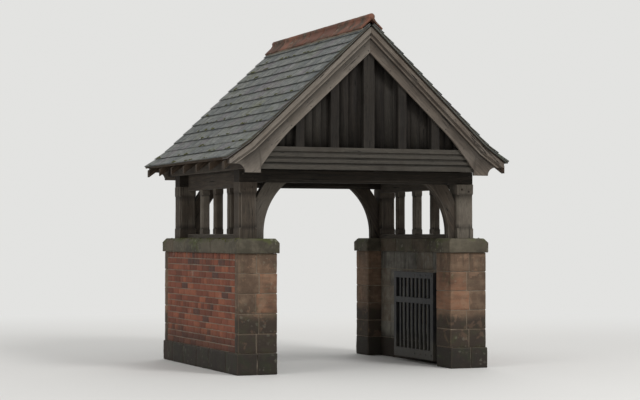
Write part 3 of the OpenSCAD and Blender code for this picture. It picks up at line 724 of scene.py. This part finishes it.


def hewn(node, look, run="Z", arris=0.005, step=0.09, wave=0.0015, body="root"):
    """Stands for a CAD piece: its form with rounded arrises, cut into lengths that let it be uneven."""
    form = bmesh.new()
    form.from_mesh(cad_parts[node].data)
    bmesh.ops.remove_doubles(form, verts=form.verts, dist=WELD)
    bmesh.ops.dissolve_limit(form, angle_limit=FLAT, verts=form.verts, edges=form.edges)
    sharp = [edge for edge in form.edges if edge.is_manifold and edge.calc_face_angle() > ROUNDED]
    rounded = bmesh.ops.bevel(form, geom=sharp, offset=arris, segments=2, profile=0.5, affect="EDGES",
                              clamp_overlap=True)["faces"]
    edge_layer = form.loops.layers.float.new("edge")
    for face in rounded:
        for loop in face.loops:
            loop[edge_layer] = 1.0
    axis = "XYZ".index(run)
    lo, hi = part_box(node)
    along = Vector([letter == run for letter in "XYZ"])
    for place in np.arange(lo[axis] + step, hi[axis] - step / 2, step):
        geometry = [*form.verts, *form.edges, *form.faces]
        bmesh.ops.bisect_plane(form, geom=geometry, dist=WELD, plane_co=along * place, plane_no=along)
    bmesh.ops.triangulate(form, faces=[face for face in form.faces if len(face.verts) > 4])
    layers = {"hollow": hollows(form), "tone": solid_tones(form, node)}
    points = np.array([vert.co for vert in form.verts])
    seed = zlib.crc32(node.encode()) % HEWN_SEEDS
    for vert, point in zip(form.verts, worn(points, wave, HEWN_WAVES, seed)):
        vert.co = point
    mesh = bpy.data.meshes.new(node + "_hewn")
    form.to_mesh(mesh)
    form.free()
    for name, values in layers.items():
        mesh.attributes.new(name, "FLOAT", "POINT").data.foreach_set("value", values)
    mesh.materials.append(look)
    mesh.shade_smooth()
    mesh.set_sharp_from_angle(angle=CREASED)
    piece = place_piece(node + "_hewn", mesh, [node], body)
    piece.modifiers.new("normals", "WEIGHTED_NORMAL").keep_sharp = True


def hollows(form):
    """How far each vertex lies in a concave crease, where shade is painted: 0 on flat faces, 1 in a corner.
    """
    form.normal_update()
    values = []
    for vert in form.verts:
        turns = [edge.calc_face_angle_signed() for edge in vert.link_edges if edge.is_manifold]
        values.append(min(1.0, max(0.0, -min(turns, default=0.0) / DEEP)))
    return values


def solid_tones(form, node):
    """A tone for each vertex, the same all over one solid of the form."""
    random = np.random.default_rng(zlib.crc32(node.encode()))
    tones = {}
    for start in form.verts:
        if start not in tones:
            # the two front posts get set tones: painted shade on the left one, painted light on the right
            # one
            tone = SHADED_AND_LIT_POST_TONES.get(node, random.random())
            waiting = {start}
            while waiting:
                vert = waiting.pop()
                tones[vert] = tone
                waiting.update(v for edge in vert.link_edges for v in edge.verts if v not in tones)
    return [tones[vert] for vert in form.verts]


# Roof

RAFTER_HIGH_Z = SLATE_TOP_Z - SLOPE_T / math.cos(PITCH)
KINK_X = EAVE_X - SPROCKET_W
KINK_Z = RAFTER_HIGH_Z - KINK_X * math.tan(PITCH)
MAIN_LENGTH = KINK_X / math.cos(PITCH)
SLOPE_LENGTH = MAIN_LENGTH + SPROCKET_W / math.cos(SPROCKET_PITCH)
SLATED_LENGTH = SLOPE_LENGTH - SLOPE_T * math.tan(SPROCKET_PITCH)  # the eave is cut upright
COURSES = 14
GAUGE = SLATED_LENGTH / COURSES
SLATE_W, SLATE_T = 0.205, 0.007
SLATE_GAP = 0.004
SLATE_LAP = 0.06
NARROWEST_SLATE = 0.03
TAIL_BACK = 0.004  # from the eave to the lowest tails
CHIPPED = 0.02  # length of the uneven stretch at a slate's tail


def on_slope(down, height):
    """X and Z at a distance down the slope and a height square to the slates' underside."""
    if down < MAIN_LENGTH:
        x, z, pitch = 0.0, RAFTER_HIGH_Z, PITCH
    else:
        x, z, pitch = KINK_X, KINK_Z, SPROCKET_PITCH
        down -= MAIN_LENGTH
    return (x + down * math.cos(pitch) + height * math.sin(pitch),
            z - down * math.sin(pitch) + height * math.cos(pitch))


def lay(points, head, tail, head_h, tail_h):
    """Carries a piece, drawn as (down, across, height), to the slope, each end at its own height."""
    head_at, tail_at = np.array(on_slope(head, head_h)), np.array(on_slope(tail, tail_h))
    along = (tail_at - head_at) / (tail - head)
    square = np.array([-along[1], along[0]]) / np.linalg.norm(along)
    flat = head_at + points[:, :1] * along + points[:, 2:] * square
    return np.stack([flat[:, 0], points[:, 1], flat[:, 1]], -1)


def slate_course(pile, tail, length, shift, top):
    """One course of slates across the roof, its tails at the given distance down the slope."""
    head = max(tail - length, 0.0)
    for y0 in np.arange(-VERGE_Y - shift, VERGE_Y, SLATE_W):
        start, end = max(y0, -VERGE_Y) + SLATE_GAP / 2, min(y0 + SLATE_W, VERGE_Y) - SLATE_GAP / 2
        if end - start < NARROWEST_SLATE:
            continue
        slip = pile.pick(-0.004, 0.003)
        points, quads, marks = block((0, start, 0), (tail - head, end, SLATE_T), 0.0015)
        chips = pile.wear(points, 0.004, 0.02)
        near_tail = np.clip((points[:, 0] - (tail - head) + CHIPPED) / CHIPPED, 0, 1)[:, None]
        points = points * (1 - near_tail) + chips * near_tail
        points[:, 2] = np.clip(points[:, 2], 0, SLATE_T)
        points[:, 0] += slip
        points = pile.wear(points, 0.0012, 0.09)
        drop = SLATE_T + pile.pick(0.0, 0.002)
        pile.add(lay(points, head, tail, top - 2.3 * SLATE_T - drop, top - drop), quads, marks)


BOARD_T, BOARD_W = 0.02, 0.14
BOARD_GAP = 0.003
UNDERCLOAK_T = 0.006
VERGE_IN_Y = BARGE_Y0 - 0.05
UNDERCLOAK_Y, MORTAR_Y = VERGE_Y - 0.002, VERGE_Y - 0.011
MORTAR_TOP = SLOPE_T - 2.2 * SLATE_T


def verge(pile, side, start, end):
    """A slate undercloak under the verge and mortar between it and the slates, painted dark as shade, along
    one pitch.
    """
    bed = BOARD_T + UNDERCLOAK_T
    y0, y1 = sorted((side * VERGE_IN_Y, side * UNDERCLOAK_Y))
    points, quads, marks = block((start, y0, BOARD_T), (end, y1, bed), 0.002, 0.12)
    points = pile.wear(points, 0.001, 0.05)
    pile.add(lay(points - [start, 0, 0], start, end, 0, 0), quads, marks)
    y0, y1 = sorted((side * VERGE_IN_Y, side * MORTAR_Y))
    points, quads, _ = block((start, y0, bed), (end, y1, MORTAR_TOP), 0.003, 0.06)
    points = pile.wear(points, 0.003, 0.04)
    # tone 1 paints this mortar dark: painted shade under the verge slates
    pile.add(lay(points - [start, 0, 0], start, end, 0, 0), quads, look=1, tone=1.0)


def slating(name, flip_x):
    """Slates in courses, doubled at the eave, with an undercloak and mortar along the verges."""
    pile = Pile(name + "_slates", flip_x)
    for course in range(COURSES):
        tail = SLATED_LENGTH - TAIL_BACK - course * GAUGE
        shift = SLATE_W / 2 if course % 2 else 0.0
        slate_course(pile, tail, GAUGE + SLATE_LAP, shift + pile.pick(0, 0.004), SLOPE_T)
    slate_course(pile, SLATED_LENGTH - 2 * TAIL_BACK, GAUGE, SLATE_W / 2, SLOPE_T - SLATE_T - 0.002)
    for start, end in ((0.0, MAIN_LENGTH), (MAIN_LENGTH, SLATED_LENGTH - 0.006)):
        for side in (-1, 1):
            verge(pile, side, start, end)
    pile.build([SLATE, MORTAR], "slate", name)


BOARDED_LENGTH = SLATED_LENGTH - 0.03
BOARDS_TOP_GAP = 0.012
FILLET_W = 0.05


def boarding(name, flip_x):
    """Boards under the slates, along the roof, with a fillet on the lowest that tilts the eave's slates."""
    pile = Pile(name + "_boarding", flip_x)
    for start, end in ((BOARDS_TOP_GAP, MAIN_LENGTH), (MAIN_LENGTH, BOARDED_LENGTH)):
        count = round((end - start) / BOARD_W)
        for down, below in pairwise(np.linspace(start, end, count + 1)):
            hi = (below - down - BOARD_GAP, MOULD_Y, BOARD_T)
            points, quads, marks = block((0, -MOULD_Y, 0), hi, 0.002, 0.4)
            points = pile.wear(points, 0.0008, 0.2)
            pile.add(lay(points, down, below, CLEAR, CLEAR), quads, marks)
    hi = (FILLET_W, MOULD_Y, SLOPE_T - 2 * SLATE_T - BOARD_T)
    points, quads, marks = block((0, -MOULD_Y, 0), hi, 0.003, 0.4)
    pile.add(lay(points, BOARDED_LENGTH - FILLET_W, BOARDED_LENGTH, BOARD_T, BOARD_T), quads, marks)
    pile.build([ROOF_ALONG], "roof_timber")


RIDGE_TILES = 7
RIDGE_WING = 0.170
RIDGE_T = 0.022
RIDGE_ROLL_R = 0.038
ROLL_TURN = math.radians(118)  # from the top of the roll round to the wing
ROLL_POINTS = 14
RIDGE_JOINT = 0.006
RIDGE_LIP, RIDGE_LIP_IN = 0.006, -0.005  # the worn rim at each end of a tile
RIDGE_CORE_IN = -0.008


def ridge_ring(y, grow):
    """Closed outline of a ridge tile: two wings below a round roll."""
    top = RIDGE_T + grow
    wing = [(RIDGE_WING, 0.002), (RIDGE_WING, 0.75 * top), (RIDGE_WING - 0.006, top), (0.10, top),
            (0.052, top)]
    half = [(down * math.cos(PITCH) + height * math.sin(PITCH),
             SLATE_TOP_Z - down * math.sin(PITCH) + height * math.cos(PITCH)) for down, height in wing]
    roll_r, roll_z = RIDGE_ROLL_R + grow, SLATE_TOP_Z + RIDGE_T / math.cos(PITCH)
    turns = np.linspace(ROLL_TURN, 0, ROLL_POINTS)
    half += [(roll_r * math.sin(turn), roll_z + roll_r * math.cos(turn)) for turn in turns]
    ring = half + [(-x, z) for x, z in half[-2::-1]] + [(0.0, SLATE_TOP_Z + 0.002)]
    return np.array([(x, y, z) for x, z in ring])


def ridge():
    """Roll-topped clay tiles along the ridge, bedded in mortar."""
    pile = Pile("ridge_tiles_clay")
    length = 2 * VERGE_Y / RIDGE_TILES
    for i in range(RIDGE_TILES):
        y0, y1 = -VERGE_Y + i * length + RIDGE_JOINT / 2, -VERGE_Y + (i + 1) * length - RIDGE_JOINT / 2
        stations = [y0, y0 + RIDGE_LIP, *np.linspace(y0 + 0.06, y1 - 0.06, 6), y1 - RIDGE_LIP, y1]
        rings = [ridge_ring(y, RIDGE_LIP_IN if y in (y0, y1) else 0.0) for y in stations]
        points, faces = loft(rings)
        points = pile.wear(points, 0.002, 0.12)
        points[:, 0] += pile.pick(-0.002, 0.002)
        pile.add(points, faces)
    end_y = VERGE_Y - 0.006
    points, faces = loft([ridge_ring(y, RIDGE_CORE_IN) for y in (-end_y, end_y)])
    pile.add(points, faces, look=1)
    edge_x, edge_z = RIDGE_WING * math.cos(PITCH), SLATE_TOP_Z - RIDGE_WING * math.sin(PITCH)
    lo = (edge_x - 0.012, -VERGE_Y + 0.004, edge_z - 0.012)
    hi = (edge_x + 0.002, VERGE_Y - 0.004, edge_z + 0.008)
    for side in (-1, 1):
        points, quads, _ = block(lo, hi, 0.003)
        points = worn(points, 0.004, 0.05, 5 + side)
        points[:, 0] *= side
        pile.add(points, quads if side > 0 else [quad[::-1] for quad in quads], look=1)
    pile.build([CLAY, MORTAR], "ridge_clay", "ridge_tiles")


GABLE_BOARD_W = 0.112
GABLE_BOARD_GAP = 0.004
TONGUE_IN, TONGUE_BACK = 0.01, 0.008


def gable_boards(end, flip_y):
    """Upright boards in the gable, cut to the rafters, on a thin tongue that closes their joints."""
    node = end + "_gable_boards"
    pile = Pile(node + "_boarding", flip_y=flip_y)
    low_x = extent(node)[1]
    slope = (GABLE_TOP_Z - GABLE_FOOT_Z) / low_x

    def top(x):
        return GABLE_TOP_Z - slope * abs(x) - 0.002

    def board(x0, x1, y0, y1):
        ring = [(x0, GABLE_FOOT_Z), (x1, GABLE_FOOT_Z), (x1, top(x1)), (x0, top(x0))]
        if x0 < 0 < x1:
            ring.insert(3, (0.0, top(0.0)))
        pile.add(*loft([np.array([(x, y, z) for x, z in ring]) for y in (y1, y0)]))

    half = GABLE_BOARD_GAP / 2
    count = round(2 * low_x / GABLE_BOARD_W)
    for x0, x1 in pairwise(np.linspace(-low_x, low_x, count + 1)):
        set_back = pile.pick(0.0, 0.003)
        board(x0 + half, x1 - half, BOARDS_Y0 + set_back, BOARDS_Y1 - set_back)
    board(-low_x + TONGUE_IN, low_x - TONGUE_IN, BOARDS_Y0 + TONGUE_BACK, BOARDS_Y1 - TONGUE_BACK)
    pile.build([GABLE_UP], "gable_timber", node)


# Moss

CUSHION_SIDES = 9
CUSHION_RINGS = ((1.0, 0.0), (0.92, 0.45), (0.62, 0.85), (0.25, 1.0))  # shares of the radius and the height
CUSHION_SUNK = 0.15  # share of the height that is below the face
CLUMP_CUSHIONS = 8  # in the largest clump


def cushion(pile, centre, up, radius):
    """A low uneven cushion of moss on a face with that upward direction, drawn out along Y."""
    height = 0.5 * radius
    up = np.array(up) / np.linalg.norm(up)
    across = np.array((0.0, 1.0, 0.0))
    beside = np.cross(up, across)
    angles = np.linspace(0, 2 * math.pi, CUSHION_SIDES, endpoint=False)
    spread = pile.random.uniform(0.7, 1.15, CUSHION_SIDES)[:, None] * radius
    flat = spread * (np.cos(angles)[:, None] * across + np.sin(angles)[:, None] * beside * 0.7)
    points, faces = loft([centre + share * flat + (rise - CUSHION_SUNK) * height * up
                          for share, rise in CUSHION_RINGS])
    pile.add(pile.wear(points, 0.3 * height, 0.4 * radius), faces)


ROOF_CLUMPS = 70


def roof_moss(name, flip_x):
    """Clumps of moss cushions along the slates' lower edges, thicker towards the eave."""
    pile = Pile(name + "_moss", flip_x)
    for _ in range(ROOF_CLUMPS):
        course = int(COURSES * pile.pick(0, 1) ** 1.4)
        middle = pile.pick(-1, 1) * (VERGE_Y - 0.12)
        size = pile.pick(0.4, 1.0)
        for _ in range(round(CLUMP_CUSHIONS * size)):
            down = SLATED_LENGTH - course * GAUGE - 0.012 - abs(pile.random.normal(0, 0.012 * size))
            x, z = on_slope(down, SLOPE_T - 0.001)
            pitch = PITCH if down < MAIN_LENGTH else SPROCKET_PITCH
            y = middle + pile.random.normal(0, 0.03 * size)
            radius = pile.pick(0.007, 0.016) * (0.6 + 0.6 * size)
            cushion(pile, (x, y, z), (math.sin(pitch), 0, math.cos(pitch)), radius)
    pile.build([TUFTS], "slate")


COPING_CLUMPS = 30


def coping_moss(name, flip_x):
    """Clumps of moss cushions along the coping's upper outer edge."""
    pile = Pile(name + "_moss", flip_x)
    edge_x = COPING_X1 - COPING_SLOPE_W
    slope = math.hypot(COPING_SLOPE_W, COPING_SLOPE_H)
    for _ in range(COPING_CLUMPS):
        middle_y = pile.pick(-1, 1) * (COPING_Y - COPING_SLOPE_W - 0.03)
        middle_in = pile.pick(-0.03, 0.04)
        size = pile.pick(0.4, 1.0)
        for _ in range(round(CLUMP_CUSHIONS * size)):
            y = middle_y + pile.random.normal(0, 0.028 * size)
            inward = middle_in + pile.random.normal(0, 0.012)
            down = max(-inward, 0.0) / slope
            x = edge_x + COPING_SLOPE_W * down if down else edge_x - inward
            z = COPING_TOP - COPING_SLOPE_H * down - 0.002
            up = (COPING_SLOPE_H, 0, COPING_SLOPE_W) if down else (0, 0, 1)
            cushion(pile, (x, y, z), up, pile.pick(0.007, 0.017) * (0.6 + 0.5 * size))
    pile.build([TUFTS], "coping_stone")


# Fixings

DOME = 0.3  # share of a head that is drawn in at its top
PEG = (0.011, 0.008)  # radius and height
BOLT = (0.010, 0.005)
NAIL = (0.006, 0.003, 8)  # with 8 sides


def dowel(pile, centre, axis, radius, length, sides=10):
    """A round peg or head that stands out from a face: along X for axis 1 or Y for 2, back if negative."""
    angles = np.linspace(0, 2 * math.pi, sides, endpoint=False)
    turned = radius * np.stack([np.cos(angles), np.sin(angles)], -1)
    rings = [np.insert(share * turned, abs(axis) - 1, reach * np.sign(axis), 1) + centre
             for reach, share in ((-length, 1.0), (length * (1 - DOME), 1.0), (length, 1 - DOME))]
    pile.add(*loft(rings))


def pegs(end, flip_y):
    """Oak pegs through the joints of the posts, braces and tie beam, at one end."""
    pile = Pile(end + "_pegs", flip_y=flip_y)
    tie_face = TIE_Y + 0.002
    for side in (-1, 1):
        for x, y, rise in ((POST_X0 + 0.05, tie_face, 0.045), (POST_X1 - 0.05, tie_face, 0.095),
                           (POST_X0 + 0.06, POST_Y, -0.06), (POST_X1 - 0.06, POST_Y, -0.085)):
            dowel(pile, (side * x, y, HEAD_Z + rise), 2, *PEG)
    pile.build([OAK_ALONG], "oak")


NAIL_SPACING = 0.32
NAIL_DEPTHS = (-0.12, -0.185)  # below the slates' underside


def nails(end, flip_y):
    """Iron nail heads along the bargeboards, in pairs over the verge rafter."""
    pile = Pile(end + "_nails", flip_y=flip_y)
    face_y = BARGE_Y0 + BARGE_T
    for side in (-1, 1):
        for down in np.arange(0.2, MAIN_LENGTH - 0.1, NAIL_SPACING):
            for depth in NAIL_DEPTHS:
                x, z = on_slope(down, depth)
                dowel(pile, (side * x, face_y, z), 2, *NAIL)
    pile.build([IRON], "iron")


STRAP_BOLTS = 4


def gate_bolts(side, flip_x):
    """Domed bolt heads that hold the straps, on the leaf's face towards the passage."""
    pile = Pile(side + "_gate_bolts", flip_x)
    leaf_x, _, leaf_y0, _, _, _ = extent("right_gate_leaf")
    _, _, _, tip_y, strap_low, strap_high = extent("right_gate_ironwork")
    for z in (strap_low + STRAP_H / 2, strap_high - STRAP_H / 2):
        for y in np.linspace(leaf_y0 + 0.05, tip_y - 0.04, STRAP_BOLTS):
            dowel(pile, (leaf_x, y, z), -1, *BOLT)
    pile.build([IRON], "iron", body=side + "_gate")


# Everything in its place

for side, flip_x in SIDES:
    for node, makers in (("plinth", [plinth]), ("side_wall", [brick_skin, lining]),
                         ("coping", [coping, coping_moss]), ("roof_slope", [slating, boarding, roof_moss])):
        for make in makers:
            make(f"{side}_{node}", flip_x)
    for end, flip_y in ENDS:
        pier(f"{side}_{end}_pier", flip_x, flip_y)
        hewn(f"{side}_{end}_post", OAK_UP)
        hewn(f"{side}_{end}_brace", OAK_CURVED, wave=0.001)
    for part in ("_sill", "_mullions", "_head_rail", "_wall_plate"):
        look, run = (OAK_UP, "Z") if part == "_mullions" else (OAK_ALONG, "Y")
        hewn(side + part, look, run)
    hewn(side + "_rafters", ROOF_SLOPED, "X", arris=0.003)
    body = side + "_gate"
    hewn(side + "_gate_leaf", GATE, "Y", arris=0.003, step=0.3, wave=0.0006, body=body)
    hewn(side + "_gate_ironwork", IRON, "Y", arris=0.001, step=0.3, wave=0.0003, body=body)
    gate_bolts(side, flip_x)

for end, flip_y in ENDS:
    hewn(end + "_tie_beam", OAK_SHADED, "X")
    hewn(end + "_gable_beam", OAK_BEAM, "X", arris=0.003)
    hewn(end + "_gable_frame", GABLE_UP, arris=0.004)
    hewn(end + "_bargeboards", BARGE, "X", arris=0.003, wave=0.001)
    gable_boards(end, flip_y)
    pegs(end, flip_y)
    nails(end, flip_y)

hewn("collars", ROOF_ACROSS, "X", arris=0.003)
hewn("ridge_board", ROOF_ALONG, "Y", arris=0.003)
hewn("gate_hooks", IRON, arris=0.001, step=0.5, wave=0.0003)
ridge()


# Floor, light and camera

BACKDROP = rgb(226, 226, 224)
FLOOR_HALF = 60.0
FLOOR_FADE = (5.0, 14.0)  # from and to where the floor turns into the backdrop
SKY_STRENGTH = 0.7
CAMERA_AT = (-7.86, -19.19, 1.552)  # where the photographer stood
AIM = (0.0, 0.0, 1.98)
LENS = 96.0


def floor():
    """A wide pale floor that fades into the backdrop."""
    mesh = bpy.data.meshes.new("floor")
    corners = [(x * FLOOR_HALF, y * FLOOR_HALF, 0) for x, y in ((-1, -1), (1, -1), (1, 1), (-1, 1))]
    mesh.from_pydata(corners, [], [(0, 1, 2, 3)])
    p = Paint("floor")
    surface = p.add("BsdfPrincipled", {"Base Color": rgb(206, 205, 202), "Roughness": 0.9})
    backdrop = p.add("Emission", {"Color": BACKDROP})
    away = p.add("VectorMath", {0: p.place}, operation="LENGTH").outputs["Value"]
    share = p.times(p.ramp(away, *FLOOR_FADE), p.seen())
    shown = p.add("MixShader", {0: share, 1: surface.outputs[0], 2: backdrop.outputs[0]})
    p.add("OutputMaterial", {"Surface": shown.outputs[0]})
    mesh.materials.append(p.material)
    obj = new_object("floor", mesh)


def sky():
    """Even soft light and a pale background."""
    world = bpy.data.worlds.new("studio")
    bpy.context.scene.world = world
    nodes = Nodes(world)
    light = nodes.add("Background", {"Color": (1.0, 1.0, 1.0, 1.0), "Strength": SKY_STRENGTH})
    backdrop = nodes.add("Background", {"Color": BACKDROP})
    shown = nodes.add("MixShader", {0: nodes.seen(), 1: light.outputs[0], 2: backdrop.outputs[0]})
    nodes.add("OutputWorld", {"Surface": shown.outputs[0]})


def aimed(name, data, place):
    """A lamp or the camera, aimed at the lychgate's middle."""
    obj = new_object(name, data)
    obj.location = place
    obj.rotation_euler = (Vector(AIM) - Vector(place)).to_track_quat("-Z", "Y").to_euler()
    return obj


def lamp(name, place, power, size):
    """A large square lamp."""
    data = bpy.data.lights.new(name, "AREA")
    data.energy, data.size = power, size
    aimed(name, data, place)


floor()
sky()
lamp("key", (5.0, -13.0, 14.0), 1500, 4.5)
lamp("fill", (-13.0, -6.0, 8.0), 400, 8.0)
lamp("back", (7.0, 13.0, 9.0), 500, 8.0)
camera_data = bpy.data.cameras.new("camera")
camera_data.lens = LENS
bpy.context.scene.camera = aimed("camera", camera_data, CAMERA_AT)
bpy.context.scene.view_settings.view_transform = "Standard"
